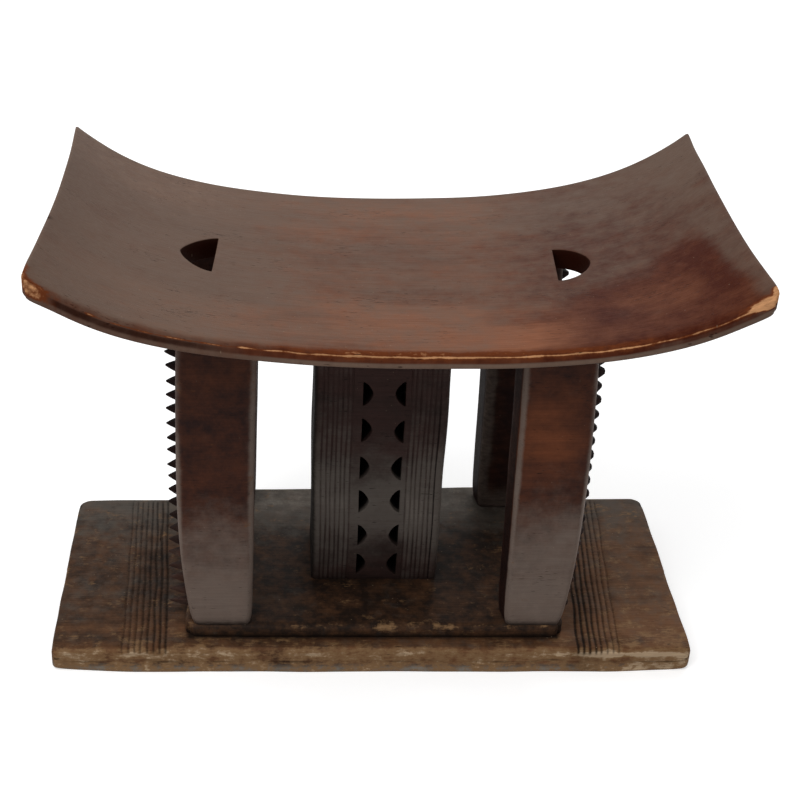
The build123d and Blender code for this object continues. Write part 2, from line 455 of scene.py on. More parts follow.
def wander(place, length, seed):
    """A smooth uneven line, mostly between -1 and 1: sine waves of odd lengths round length."""
    chance = np.random.default_rng(seed)
    waves, starts = length * chance.uniform(0.5, 1.9, 6), chance.uniform(0, 2 * math.pi, 6)
    return np.sin(np.asarray(place)[..., None] * 2 * math.pi / waves + starts).mean(-1) * 1.8


def hollows(points, length, seed):
    """Smooth uneven ground over space, mostly between -1 and 1: plane waves in odd directions."""
    chance = np.random.default_rng(seed)
    ways = chance.normal(size=(9, 3))
    turns = (2 * math.pi / length) * chance.uniform(0.6, 1.5, (9, 1))
    ways *= turns / np.linalg.norm(ways, axis=1, keepdims=True)
    return np.sin(points @ ways.T + chance.uniform(0, 2 * math.pi, 9)).mean(-1) * 2


def near(distance, reach):
    """1 at no distance, falling smoothly to nothing at a few times reach."""
    return np.exp(-((distance / reach) ** 2))


def rise(value, low, high):
    """0 below low, 1 above high, and smooth between."""
    share = np.clip((value - low) / (high - low), 0, 1)
    return share * share * (3 - 2 * share)


def fading(distance, reach):
    """1 up to no distance, and then less and less, by a factor e for each reach."""
    return np.exp(-distance / reach).clip(0, 1)


def spot(x, y, middle, reach):
    """1 at its middle, falling smoothly to nothing round it, by its own reach along X and along Y."""
    return near(np.hypot((x - middle[0]) / reach[0], (y - middle[1]) / reach[1]), 1)


def strongest(*marks):
    """At each point, the largest of those marks."""
    return functools.reduce(np.maximum, marks)


def make_piece(name, node, points, quads, material, marks):
    """A mesh piece that stands for its CAD node, with its marks kept as attributes of its points."""
    mesh = bpy.data.meshes.new(name)
    mesh.vertices.add(len(points))
    mesh.vertices.foreach_set("co", (points * MM).astype(np.float32).ravel())
    mesh.loops.add(quads.size)
    mesh.loops.foreach_set("vertex_index", quads.ravel().astype(np.int32))
    mesh.polygons.add(len(quads))
    mesh.polygons.foreach_set("loop_start", np.arange(0, quads.size, 4, dtype=np.int32))
    mesh.update(calc_edges=True)
    for mark_name, values in marks.items():
        attribute = mesh.attributes.new(mark_name, "FLOAT", "POINT")
        attribute.data.foreach_set("value", np.clip(values, 0, 2).astype(np.float32))
    work = bmesh.new()
    work.from_mesh(mesh)
    bmesh.ops.recalc_face_normals(work, faces=work.faces)
    work.to_mesh(mesh)
    work.free()
    mesh.shade_smooth()
    mesh.materials.append(material)
    piece = bpy.data.objects.new(name, mesh)
    bpy.context.scene.collection.objects.link(piece)
    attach(piece, "root")
    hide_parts(node)


# ---------------------------------------------------------------- seat
def seat_top(u, v):
    """Height of the seat's top, where u and v run from -1 to 1 along it and across it.

    It is a saddle of second, fourth and sixth powers of u, with a slight lean, tip and twist.
    """
    saddle = seat_rise * ((1 - saddle_steep) * u**2 + saddle_steep * u**4) + saddle_late * (u**6 - u**4)
    return seat_low + saddle + seat_lean * u + seat_tip * v + seat_twist * u * v


def seat_thickness(u, v):
    """Upright thickness: full along the middle, thinner to the long edges, and more where the seat slopes."""
    slope = seat_rise / seat_half * (2 * (1 - saddle_steep) * u + 4 * saddle_steep * u**3)
    return (seat_core - (seat_core - seat_edge) * v**2) * np.sqrt(1 + slope**2)


def seat_underside(x, y):
    """Height of the seat's underside over a place on the board, for the members that carry it."""
    u = (x - seat_aside) / seat_half
    v = y / (seat_half_depth - back_waist * (1 - u**2))
    return seat_top(u, v) - seat_thickness(u, v)


def seat_plan(x, y):
    """Where a point of the straight block lies in plan: hollowed on four sides, turned and set aside."""
    u, v = x / seat_half, y / seat_half_depth
    hollow = np.where(u < 0, left_hollow, right_hollow * (1 - right_hollow_slant * v))
    out_x = x * (1 - seat_taper * v) - hollow * (1 - v**2) * u
    out_y = y - np.where(v < 0, front_waist, back_waist) * (1 - u**2) * v
    turn = np.array(((math.cos(seat_turn), -math.sin(seat_turn)), (math.sin(seat_turn), math.cos(seat_turn))))
    out_x, out_y = turn @ np.stack([out_x, out_y])
    return out_x + seat_aside, out_y


def seat_block():
    """The seat as a straight soft-edged block with its two hand holes: its points and quads."""
    half, fine = seat_box, seat_box - seat_fine
    left_cells, right_cells = (cells for cells, _ in hand_holes)
    x_lines = soft_lines(half[0], seat_soft[0], np.concatenate([
        np.linspace(seat_soft[0] - half[0], -fine[0], 9)[1:], even_lines(-fine[0], left_cells[0], 4),
        np.linspace(*left_cells[:2], 13), even_lines(left_cells[1], right_cells[0], 4),
        np.linspace(*right_cells[:2], 13), even_lines(right_cells[1], fine[0], 4),
        np.linspace(fine[0], half[0] - seat_soft[0], 9)[:-1]]))
    y_lines = soft_lines(half[1], seat_soft[1], np.concatenate([
        np.linspace(seat_soft[1] - half[1], -fine[1], 9)[1:], even_lines(-fine[1], left_cells[2], 4),
        np.linspace(*left_cells[2:], 19), even_lines(left_cells[3], half[1] - seat_soft[1], 4)]))
    z_lines = soft_lines(half[2], seat_soft[2], np.linspace(-3, 3, 4))
    grids = block_grids((x_lines, y_lines, z_lines), [(2, *cells) for cells, _ in hand_holes])
    for cells, hole in hand_holes:
        loop, flat_points = window_frame((x_lines, y_lines), *cells, flat_side=-hole["reach"])
        outline = half_round(**hole, bow_points=len(loop) - flat_points, flat_points=flat_points)
        grids.append(sleeve(2, loop, outline, half[2], -half[2], 1.0))
    return join(grids)


def front_corners(x, y):
    """Distance from the seat's front left corner, and from its front right one, where Y counts for more."""
    behind = seat_box[1] + y
    return np.hypot(seat_box[0] + x, behind), np.hypot(seat_box[0] - x, 2.2 * behind)


def seat_form(points):
    """Where the points of the straight block come to lie: bent to the saddle, and uneven by knife and wear.

    A point keeps its share of the thickness.  The long edges and the ends waver, the front arris is worn down
    unevenly, both front corners droop, the back right one is drawn out, and the back left one hangs a little.
    """
    x, y, depth = points.T
    half = seat_box
    u, v = x / half[0], y / half[1]
    left_corner, right_corner = front_corners(x, y)
    round_x, round_y = round_corners(x, y, half, seat_corners)
    plan_x, plan_y = seat_plan(round_x + 0.2 * wander(y, 150, 3) * u**4,
                               round_y + 0.3 * wander(x, 120, 5) * v**4)
    height = seat_top(u, v) - (0.5 - depth / seat_core) * seat_thickness(u, v)
    height = height + 0.25 * hollows(points * (0.5, 1, 0), 70, 8) - 0.2
    front_arris = np.hypot(half[1] + y, half[2] - depth)
    height = height - near(front_arris, 4.5) * (1 + 0.4 * wander(x, 34, 12))
    height = height - 2.8 * near(left_corner, 13) - 2.2 * near(right_corner, 15)
    height = height - 0.8 * near(np.hypot(half[0] + x, half[1] - y), 12)
    plan_x = plan_x + 1.7 * near(np.hypot(half[0] - x, half[1] - y), 24)
    return np.stack([plan_x, plan_y, height], -1)


def seat_marks(x, y, depth):
    """The seat's wear, soil and painted shade, dust and painted sheen, and stain, from a point's place on the
    straight block.

    A pale rubbed line runs along the front face a little below its upper arris, between bands of red-brown,
    and a grey painted sheen lies along the face's foot.  At the left the line breaks up and the face is dark.
    A grey painted sheen lies over the left, the back and the right end.  In front at the right there is none,
    up to a line that climbs to the right, and the stain there is deep and red, with a dark blotch.  The hand
    holes' walls and the underside are darkened as painted shade.
    """
    half = seat_box
    down = half[2] - depth
    behind = half[1] + y
    inwards = half[0] - np.abs(x)
    front, face = near(behind, 3), near(behind, 4)
    left_corner, right_corner = front_corners(x, y)
    top_edge = np.hypot(np.minimum(inwards, half[1] - np.abs(y)), down)
    rim = near(np.minimum(behind, inwards), 4)

    broken = rise(-x, 60, 120) + 0.75 * rise(x, 150, 190)
    line = near(down - 3.4 + 0.2 * broken, 1.7 - 0.5 * broken) * (0.9 - 0.3 * broken)
    line = line * (1 + (0.07 + 0.42 * broken) * wander(x, 13, 21)) * (1 - rise(-x, 195, 225))
    wear = strongest(
        front * line,
        0.36 * front * (1 - broken) * near(down - 4, 4.5),
        0.42 * (1 - broken) * near(behind - 1.5, 3) * (down < 3),
        0.16 * near(top_edge, 2),
        1.3 * rim * rise(depth, -3 + 0.3 * right_corner, 0.3 * right_corner) * rise(-right_corner, -25, -13),
        0.62 * rim * rise(depth, -6, -1) * rise(-left_corner, -30, -8))

    # Painted shade: the walls of the hand holes and the whole underside are darkened.
    in_hole = (np.abs(depth) < half[2] - 0.4) & (np.abs(x) < 0.75 * half[0]) & (np.abs(y) < 0.4 * half[1])
    dark_from = 3 - 1.5 * rise(-x, 180, 220)
    dark_face = rise(-x, 70, 150) * rise(down, dark_from, 5.5) * (1 - 0.8 * rise(down, 8.5, 12))
    dark_face = dark_face + 0.4 * rise(x, 140, 190) * near(down - 8, 3.2) * (1 - 0.6 * rise(down, 10, 13))
    soil_and_shade = strongest(
        in_hole,
        rise(-depth, 7, 8) * (behind > 3),                       # all of the underside
        0.74 * front * dark_face * rise(left_corner, 8, 24),
        0.9 * spot(x, y, (-half[0], -47), (4, 4)),               # a dark nick in the left end
        0.4 * spot(x, y, (-122, -13), (5, 5 / 0.6)),             # a smudge beside the left hole
        0.3 * near(top_edge, 2.5) * rise(-inwards, -6, -3) * (y > -120))

    blotch = spot(x, y, (157, -101), (20, 13))
    slanted = x + 0.1 * (y + 50)
    deep = rise(0.6 * (x - 110) - 106 - y, -44, 8) * rise(x, 40, 110) * (1 - rise(slanted, 223, 239))
    # A grey painted sheen lies over the left, the back and the right end, and none in front at the right.
    dust_and_sheen = 0.6 + 0.34 * rise(-x, 30, 160) - 0.1 * rise(-y, 60, 110) * (1 - rise(-x, 100, 180))
    dust_and_sheen = dust_and_sheen + 0.14 * rise(y, 30, 110) - 0.12 * rise(x, 60, 130) * (1 - rise(y, 20, 80))
    dust_and_sheen = (dust_and_sheen + 0.2 * rise(x, 200, 235)) * (1 - deep)
    # On the front face the painted sheen stays at the left alone, and a grey painted sheen runs all along the
    # foot.
    dust_and_sheen = dust_and_sheen * (1 - (0.8 - 0.45 * rise(-x, 60, 130)) * face) + 0.25 * blotch
    dust_and_sheen = dust_and_sheen * np.maximum(rise(depth, 3, 6), rise(-x, 60, 130) * face)
    leftwards = rise(-x, 70, 130)
    foot_sheen = 1.15 * rise(down, 9.2, 11) * (1 - leftwards) * (1 - 0.5 * rise(x, 150, 200))
    foot_sheen = foot_sheen + 0.15 * rise(down, 8, 11) * leftwards + 0.42 * rise(x, 150, 190) * rise(down, 4, 6)
    dust_and_sheen = dust_and_sheen + face * foot_sheen

    stain = 0.3 + 0.2 * near(x - 5, 150) + 0.55 * rise(-y, 50, 100) + 0.4 * rise(y, 40, 100)
    stain = stain * (1 - 0.85 * rise(x, 60, 150)) * (1 - 0.4 * rise(-x, 180, 240))
    stain = stain * (1 - 0.8 * near(behind, 5)) - 0.2 * blotch + 0.15 * spot(x, y, (190, -88), (36, 34))
    stain = stain - 0.3 * near(slanted - 224, 8) * rise(-y, 20, 50) * rise(y, -120, -90)
    return {"wear": wear, "soil_and_shade": soil_and_shade, "dust_and_sheen": dust_and_sheen, "stain": stain}


def make_seat(material):
    """The seat: a thin soft-edged block with two half-round hand holes, bent into the saddle and worn."""
    block, quads = seat_block()
    points = soften(block, seat_box, seat_soft)
    make_piece("saddle_seat", "seat", seat_form(points), quads, material, seat_marks(*points.T))


# ---------------------------------------------------------------- base board and plinth
def base_block(half, cuts):
    """The board as a straight soft-edged block, with close grid lines at its bands: its points and quads."""
    band = groove_lines(cuts, band_pitch, band_groove)
    outside = np.concatenate([even_lines(band[-1], half[0] - base_fine, 5),
                              np.linspace(half[0] - base_fine, half[0] - base_soft[0], 6)[:-1]])
    inner = np.concatenate([-outside[::-1], -band[::-1], even_lines(-band[0], band[0], 6), band, outside])
    return join(block_grids((soft_lines(half[0], base_soft[0], inner), even_soft(half[1], base_soft[1], 2.5),
                             soft_lines(half[2], base_soft[2], np.linspace(-6, 6, 7)))))


def make_base(material):
    """The board on the floor: a soft-edged block with a splayed band of wavering cut lines near each end."""
    half = (base_high - base_low) / 2
    first = band_middle - band_pitch * (band_lines - 1) / 2
    cuts = first + band_pitch * np.arange(band_lines)
    block, quads = base_block(half, cuts)
    points = soften_ends(block, half, base_soft, base_back_soft)
    points = np.where(block[:, 2:] < 0, soften(block, half, base_foot_soft), points)
    x, y, z = points.T
    size, side, top = np.abs(x), np.sign(x), z > 0
    to_edge = edge_gap(block, half)

    # A band's lines splay towards the back, and each wavers by itself.
    number, groove = v_grooves(size, cuts, band_pitch, band_groove)
    cut = groove ** 0.8 * rise(np.abs(z), 4, 9) * top * rise(half[1] - y, 1, 7)
    own = number * 7.3 + side * 31
    in_band = rise(size, first - 40, first - 4) * (1 - rise(size, cuts[-1] + 4, half[0] - 2))
    splay, narrowing = (np.where(side < 0, *pair) for pair in (band_splay, band_narrowing))
    moved = (splay - (size - band_middle) * narrowing) * y / half[1]
    moved = moved + 0.45 * wander(y + own * 13, 70, 33) + 0.5 * wander(y, 110, 35)
    # Its edges are knocked about, the back runs askew, and the right side is a little hollow.
    edge = near(to_edge, 5)
    round_x, round_y = round_corners(x, y, half, base_corners)
    knocks = 0.2 * edge * (wander(y, 70, 43) - 1) * (size > half[0] - 14)
    plan_x = round_x + side * (in_band * moved + knocks)
    plan_x = np.clip(plan_x - near(y + 40, 60) * rise(x, half[0] - 20, half[0]), -half[0], half[0])
    plan_y = round_y + np.sign(y) * 0.3 * edge * (wander(x, 80, 41) - 1)
    plan_y = plan_y + (2.6 + 0.018 * x) * rise(y, 0, half[1])
    # The front leans out to the floor between its worn corners, the ends are nicked, and the top is flat only
    # by eye.
    plan_y = plan_y - 2.4 * rise(-z, 2, 11) * rise(-y, half[1] - 12, half[1]) * (1 - rise(size, 190, 245))
    nicks = near(to_edge, 3) * rise(wander(y + 300 * side, 11, 45), 0.55, 1.1) * (size > half[0] - 5)
    height = z + half[2] + rise(z, 0, 8) * (0.3 * hollows(points * (0.6, 1, 0), 50, 47) - 0.3)
    height = height - cut * band_depth * (0.8 + 0.35 * wander(y + own * 11, 50, 31)) - 1.2 * nicks * top
    height = height - near(np.hypot(half[0] - size, half[1] + y), 9) * np.where(top, 2.6, -1.8)

    # The front is scuffed pale below its upper edge and greyed along the floor by dust and a pale painted
    # sheen, with a dark line between.
    front = rise(-y, half[1] - 4, half[1])
    down = half[2] - z
    scuffed = near(down - 5.5, 3.8) * (0.52 + 0.14 * wander(x, 45, 51) + 0.56 * rise(x, 130, 200))
    wear = strongest(0.07 + 0.12 * rise(-y, 60, 100) + 0.08 * rise(x, 150, 220) + 0.24 * front,
                     front * scuffed,
                     near(to_edge, 3) * (0.2 + 0.14 * wander(y, 60, 57)) * top * (1 - front))
    # Darker in the cut lines and round the foot of the step.
    by_step = np.maximum(size - plinth_high[0], np.maximum(plinth_low[1] - y, 0))
    soil_and_shade = np.maximum(0.5 * cut, 0.8 * near(by_step, 3.5) * top)
    dark_line = near(down - 12.3 - 1.2 * wander(x, 90, 53), 1.3) * (0.5 + 0.2 * wander(x, 70, 59))
    soil_and_shade = strongest(soil_and_shade + (0.32 + 0.1 * side) * near(size - 174, 20) * in_band, 0.9 * rise(nicks, 0.2, 0.8),
                     front * dark_line)
    # Dust and painted sheen over the top, more behind than in front.
    dust_and_sheen = 0.36 + 0.2 * wander(y, 120, 55) + 0.3 * rise(y, 0, 80) - 0.2 * rise(-y, 40, 90)
    dust_and_sheen = dust_and_sheen * (1 - front) + 1.6 * front * rise(down, 12.5, 19)
    stain = 0.27 + 0.46 * rise(x, 100, 200) + 0.3 * rise(-y, 30, 80) + 0.3 * front
    points = np.stack([plan_x, plan_y, height], -1)
    marks = {"wear": wear, "soil_and_shade": soil_and_shade, "dust_and_sheen": dust_and_sheen, "stain": stain}
    make_piece("foot_board", "base_board", points, quads, material, marks)


def make_plinth(material):
    """The low step on the board: a soft-edged block with rounded corners, sunk a little into the board."""
    half = (plinth_high - plinth_low + (0, 0, plinth_sink)) / 2
    fine = half[0] - plinth_fine
    end_lines = np.linspace(fine, half[0] - plinth_soft[0], 6)[:-1]
    inner = np.concatenate([-end_lines[::-1], even_lines(-fine, fine, 5), end_lines])
    block, quads = join(block_grids((soft_lines(half[0], plinth_soft[0], inner),
                                     even_soft(half[1], plinth_soft[1], 3),
                                     soft_lines(half[2], plinth_soft[2], np.array((-2.0, 2.0))))))
    points = soften_ends(block, half, plinth_soft, plinth_back_soft)
    x, y, z = points.T
    to_edge = edge_gap(block, half)
    edge = near(to_edge, 6)
    plan_x, plan_y = round_corners(x, y, half, plinth_corners)
    plan_x = plan_x + np.sign(x) * 0.4 * edge * (wander(y, 50, 63) - 1)
    plan_y = plan_y + np.sign(y) * 0.4 * edge * (wander(x, 60, 61) - 1)
    plan_y = plan_y + (4.6 + 0.03 * x) * rise(y, 0, half[1])
    height = z + rise(z, 0, 6) * (0.35 * hollows(points * (0.7, 1, 0), 45, 65) - 0.35)
    # Painted shade darkens the lower part, under the lip, and the top round the column, under the seat. Dust
    # and a pale painted sheen grey the back.
    marks = {"wear": near(to_edge, 3.5) * (0.16 + 0.08 * wander(x, 45, 67)) * (z > 0),
             "soil_and_shade": rise(-z, -1, 4) * 0.9 + 0.55 * near(np.abs(y) - 10, 50) * near(x, 90) * (z > 0),
             "dust_and_sheen": 0.1 + 1.15 * rise(y, 5, 75), "stain": np.full(len(x), 0.15)}
    points = np.stack([plan_x, plan_y + body_middle, height + plinth_top - half[2]], -1)
    make_piece("step", "plinth", points, quads, material, marks)


# ---------------------------------------------------------------- posts
def meet_seat(x, y, z, start, top):
    """Heights drawn up from start on, so that the top ends inside the seat, and the gap to its underside."""
    under = seat_underside(x, y)
    raised = z + rise(z, start, top) * (under + post_sink - top)
    return raised, under - raised


def bowed(z, shape):
    """Reach of a post's outer side: widest at the belly, less as a square towards the foot and the head."""
    belly, level = shape["belly"], shape["belly_height"]
    below = (level - z) / (level - plinth_top)
    above = (z - level) / (bow_top - level)
    return belly - np.where(z < level, (belly - shape["foot"]) * below**2, (belly - shape["head"]) * above**2)


def tooth_grids(height, root_x, tip_x, side, root_tall, root_wide, blunt, swell, seed):
    """A pointed tooth: a soft block that tapers, as its length to the power swell, from root to tip."""
    chance = np.random.default_rng(seed)
    long = tip_x - root_x
    half = np.array((long / 2, root_wide / 2, root_tall / 2))
    soft = (0.5, 0.7, 0.7)
    lines = (even_soft(half[0], soft[0], 1.6, 2), soft_lines(half[1], soft[1], np.zeros(1), 2),
             soft_lines(half[2], soft[2], np.zeros(1), 2))
    lean_y, lean_z = chance.uniform(-0.9, 0.9), chance.uniform(-0.7, 0.7)
    shaped = []
    for grid, keep in block_grids(lines):
        points = soften(grid, half, soft)
        share = np.clip((points[..., 0] + half[0]) / long, 0, 1)
        taper = 1 - share**swell * (1 - blunt)
        x = side * (root_x + share * long)
        y = points[..., 1] * taper + share * lean_y
        z = points[..., 2] * taper + share * lean_z + height
        shaped.append((np.stack([x, y, z], -1), keep))
    return shaped


def post_teeth(side, shape, teeth, chance, seed):
    """The row of teeth on a post's outer side, evenly spaced but for chance: its points and quads."""
    grids = []
    for level in range(tooth_count):
        height = tooth_start + tooth_pitch * level + chance.uniform(-0.5, 0.5)
        root = float(bowed(np.array(height), shape)) - tooth_sink
        tip = teeth["low_tip"] + (teeth["high_tip"] - teeth["low_tip"]) * level / (tooth_count - 1)
        tip = tip + chance.uniform(-0.7, 0.5)
        if side > 0:
            # On the right the lower teeth are short.
            tip = min(tip, root + 6 + 5 * float(rise(height, 150, 230)))
        tall, wide, blunt = (teeth[size] * chance.uniform(*span) for size, span in (
            ("tall", (0.92, 1.06)), ("wide", (0.94, 1.05)), ("blunt", (0.6, 1.4))))
        grids += tooth_grids(height, root, tip, side, tall, wide, blunt, teeth["swell"], seed + level)
    return join(grids)


def make_post(name, node, side, middle, shape, teeth, looks, material, seed):
    """A flat-faced post, bowed on its outer side, with a row of pointed teeth down it.

    Each point of a straight block keeps its share of the way from the straight inner side to the bowed one.
    """
    chance = np.random.default_rng(seed)
    bottom, top = plinth_top - post_sink, post_top
    half = np.array((post_half, post_half_depth, (top - bottom) / 2))
    lines = [even_soft(half[axis], post_soft[axis], 4, turns) for axis, turns in enumerate((4, 4, 1))]
    block, quads = join(block_grids(lines))
    points = soften(block, half, post_soft)
    across, deep, z = points.T
    z = z + (top + bottom) / 2
    inner = shape["inner_foot"] + (shape["inner_head"] - shape["inner_foot"]) * (z - plinth_top) / post_run
    share = (across + half[0]) / (2 * half[0])
    reach = inner + share * (bowed(z, shape) - inner)
    reach = reach + max(side, 0) * 2 * (1 - share) * (1 - deep / post_half_depth)
    reach = reach + 0.35 * hollows(points * (1, 1, 0.6), 40, seed + 1) * rise(half[0] - np.abs(across), -1, 3)
    y = deep + 0.3 * hollows(points, 48, seed + 2) * rise(post_half_depth - np.abs(deep), -1, 4) - 0.1
    # The arrises waver, and the post spreads a little to the seat and draws in to the plinth.
    arris = near(edge_gap(block, half * (1, 1, 9)), 5)
    reach = reach + arris * 0.2 * np.sign(across) * wander(z, 90, seed + 3)
    z, gap = meet_seat(side * reach, y + middle, z, post_stretch, top)
    cove = 1.2 * fading(gap, 2.2) - 1.8 * fading(z - plinth_top, 6)
    x = side * (reach + np.sign(across) * cove * rise(np.abs(across), 15, 27))
    y = y + np.sign(deep) * cove * rise(np.abs(deep), 5, 13)

    # Painted highlights run grey down the arrises, a grey painted reflection of the floor climbs from the
    # foot, and one post shows a warm patch.  Each post is darker at its foot, and painted shade darkens it
    # under the seat and, at the back, all over.  On the right the inner side is darkened as painted shade,
    # with a painted highlight on the arris behind.
    inside, outside = share * 2 * half[0], (1 - share) * 2 * half[0]
    from_front, from_back = post_half_depth + deep, post_half_depth - deep
    inner_side = rise(-inside, -1.5, 0) * rise(from_front, 3, 6) * (1 - near(from_back, 3.5)) * (side > 0)
    wear = arris * (0.1 + 0.08 * wander(z, 60, seed + 4)) * rise(z, 60, 120)
    soil_and_shade = strongest(0.8 * fading(z - plinth_top, 4), 0.8 * fading(gap, 7), looks["soot"], 0.75 * inner_side)
    gleam, front = looks["gleam"], from_front < 4
    film = (1 - rise(z + 15 * hollows(points, 80, seed + 5), *looks["film"])) ** 1.8
    dust_and_sheen = strongest(
        film * (1 - inner_side),
        gleam * near(inside - 1.5, looks["gleam_width"]) * front * (1 - 0.35 * rise(z, 220, 290)),
        looks["outer_gleam"] * near(outside - 1, 2.6) * front * (1 - 0.55 * rise(z, 150, 230)),
        1.6 * gleam * near(np.hypot(inside, from_back), 2) * rise(z, 120, 150))
    stain = 0.13 + 0.6 * looks["patch"] * near(np.hypot((z - 200) * 0.62, reach - 118), 24)

    tooth_points, tooth_quads = post_teeth(side, shape, teeth, chance, seed)
    # The teeth are darkened as painted shade, less so low down, where dust and a painted sheen grey them.
    dusty_sheen = 1 - rise(tooth_points[:, 2], 90, 150)
    tooth_marks = (np.zeros(len(dusty_sheen)), 0.8 - 0.3 * dusty_sheen, 0.3 * dusty_sheen, np.full(len(dusty_sheen), 0.1))
    marks = {mark: np.concatenate([body, tooth]) for mark, body, tooth in zip(
        ("wear", "soil_and_shade", "dust_and_sheen", "stain"), (wear, soil_and_shade, dust_and_sheen, stain), tooth_marks)}
    quads = np.concatenate([quads, tooth_quads + len(points)])
    points = np.concatenate([np.stack([x, y, z], -1), tooth_points]) + (0, middle, 0)
    make_piece(name, node, points, quads, material, marks)


# ---------------------------------------------------------------- column
def column_block(half, core, flutes):
    """The column as a straight block and a square core, joined by half-moon windows: its points and quads."""
    band = groove_lines(flutes, flute_pitch, flute_width)
    band = band[band < half[0] - column_soft[0] - 0.2]
    left_cells, right_cells = moon_cells
    panel = np.concatenate([np.linspace(*left_cells, 7), even_lines(left_cells[1], right_cells[0], 3),
                            np.linspace(*right_cells, 7)])
    levels = [height - (column_top + plinth_top - post_sink) / 2 for height in moon_heights]
    frames = [np.linspace(level - moon_cell, level + moon_cell, 9) for level in levels]
    spaces = [even_lines(lower[-1], upper[0], 4) for lower, upper in zip(frames[:-1], frames[1:])]
    z_lines = np.sort(np.concatenate([even_lines(1 - half[2], frames[0][0], 2), *frames, *spaces,
                                      even_lines(frames[-1][-1], half[2] - 1, 4)]))
    lines = (soft_lines(half[0], column_soft[0], np.concatenate([-band[::-1], panel, band])),
             even_soft(half[1], column_soft[1], 6), soft_lines(half[2], column_soft[2], z_lines, 1))
    core_lines = (np.concatenate([[-core[0]], panel, [core[0]]]), np.linspace(-core[1], core[1], 7),
                  np.concatenate([[-core[2]], z_lines[np.abs(z_lines) < core[2] - 0.5], [core[2]]]))
    windows = [(1, *cells, level - moon_cell, level + moon_cell) for level in levels for cells in moon_cells]
    grids = block_grids(lines, windows) + block_grids(core_lines, windows)
    chance = np.random.default_rng(71)
    for height, level in zip(moon_heights, levels):
        # The upper moons at the right lie a little further in.
        flats = (moon_flats[0], moon_flats[1] - 0.6 * rise(height, 179.2, 244.8))
        for flat, reach, cells in zip(flats, (1, -1), moon_cells):
            loop, flat_points = window_frame((lines[0], lines[2]), *cells, level - moon_cell,
                                             level + moon_cell, flat_side=-reach)
            size = chance.uniform(0.93, 1.05)
            outline = half_round(flat, level + chance.uniform(-0.6, 0.6), reach * moon_bulge * size,
                                 moon_tall / 2 * size, moon_fullness, len(loop) - flat_points, flat_points)
            centre = outline.mean(0)
            behind = centre + (outline - centre) * back_moon_share - (0, back_moon_drop)
            grids.append(sleeve(1, loop, outline, -half[1], -core[1], 0.5))
            grids.append(sleeve(1, loop, behind, half[1], core[1], 0.5))
    return join(grids)


def make_column(material):
    """The hollow column: a pierced block round a square core, with a band of upright flutes at each side."""
    bottom, top = plinth_top - post_sink, column_top
    half = np.array((column_half, column_half_depth, (top - bottom) / 2))
    core = np.array((core_half, core_half_depth, half[2] - 3))
    flutes = flute_inset + flute_pitch * np.arange(flute_lines)
    block, quads = column_block(half, core, flutes)
    is_core = (np.abs(block[:, 0]) <= core[0] + 0.01) & (np.abs(block[:, 1]) <= core[1] + 0.01)
    points = np.where(is_core[:, None], block, soften(block, half, column_soft))
    x, y, z = points.T
    height = z + (top + bottom) / 2
    size = np.abs(x)
    solid = np.where(is_core, 0, 1)

    # Flutes: a V of flute_depth at each line of a band, cut by eye.
    number, cut = v_grooves(size, flutes, flute_pitch, flute_width)
    cut = cut * rise(np.abs(y), half[1] - 1.5, half[1] - 0.2)
    own = number * 5.1 + np.sign(x) * 17
    deep = cut * flute_depth * (0.75 + 0.45 * wander(height + own * 17, 80, 73))
    moved_x = 0.35 * wander(height + own * 13, 120, 75) * rise(size, 22, 26) + 0.3 * wander(height, 130, 77)
    moved_y = -np.sign(y) * deep + 0.3 * hollows(points, 50, 79) * rise(half[1] - np.abs(y), -1, 2)
    upwards = rise(height, plinth_top, 300)
    out_x = (x + moved_x * solid) * (1 + column_flare * upwards) + column_lean * (1 - upwards)
    out_y = y + moved_y * solid
    out_z, gap = meet_seat(out_x, out_y + body_middle, height, column_stretch, top)
    cove = 1.2 * fading(gap, 2.2) * solid
    out_x = out_x + np.sign(x) * cove * rise(size, 40, 49.5)
    out_y = out_y + np.sign(y) * cove * rise(np.abs(y), 25, 35)

    # Painted shade inside the windows and the core, along the left arris, and towards the top under the seat;
    # darker also in the flutes, most at the right low down, and at the foot.
    in_wall = (np.abs(y) < half[1] - 0.6) & (size < 23)
    soil_and_shade = strongest(cut * (0.26 + 0.6 * rise(x, 40, 44) * (1 - rise(out_z, 170, 240))), in_wall | is_core,
                     0.8 * near(half[0] + x, 3) * solid, 0.6 * fading(out_z - plinth_top, 7),
                     0.35 * rise(out_z, 215, 290))
    # Dust and painted sheen: a grey band round mid-height, and a lighter stripe over the fluted bands.
    dust_and_sheen = near(out_z - 112, 50) * (0.85 + 0.2 * hollows(points, 70, 81)) * (1 - 0.4 * cut)
    dust_and_sheen = (dust_and_sheen + 0.24 * (1 - cut) * rise(size, 22, 24)) * solid
    marks = {"wear": near(edge_gap(block, half * (1, 1, 9)), 3) * 0.14 * solid, "soil_and_shade": soil_and_shade, "dust_and_sheen": dust_and_sheen,
             "stain": np.full(len(x), 0.5)}
    points = np.stack([out_x, out_y + body_middle, out_z], -1)
    make_piece("pierced_column", "central_column", points, quads, material, marks)


# ---------------------------------------------------------------- wood
def new_group(name, inputs, outputs):
    """An empty shader group, whose inputs start at a number, or are places where that is None."""
    group = bpy.data.node_groups.new(name, "ShaderNodeTree")
    for label, start in inputs.items():
        kind = "NodeSocketVector" if start is None else "NodeSocketFloat"
        socket = group.interface.new_socket(label, in_out="INPUT", socket_type=kind)
        if start is not None:
            socket.default_value = start
    for label in outputs:
        group.interface.new_socket(label, in_out="OUTPUT", socket_type="NodeSocketFloat")
    return group, group.nodes.new("NodeGroupInput").outputs, group.nodes.new("NodeGroupOutput").inputs


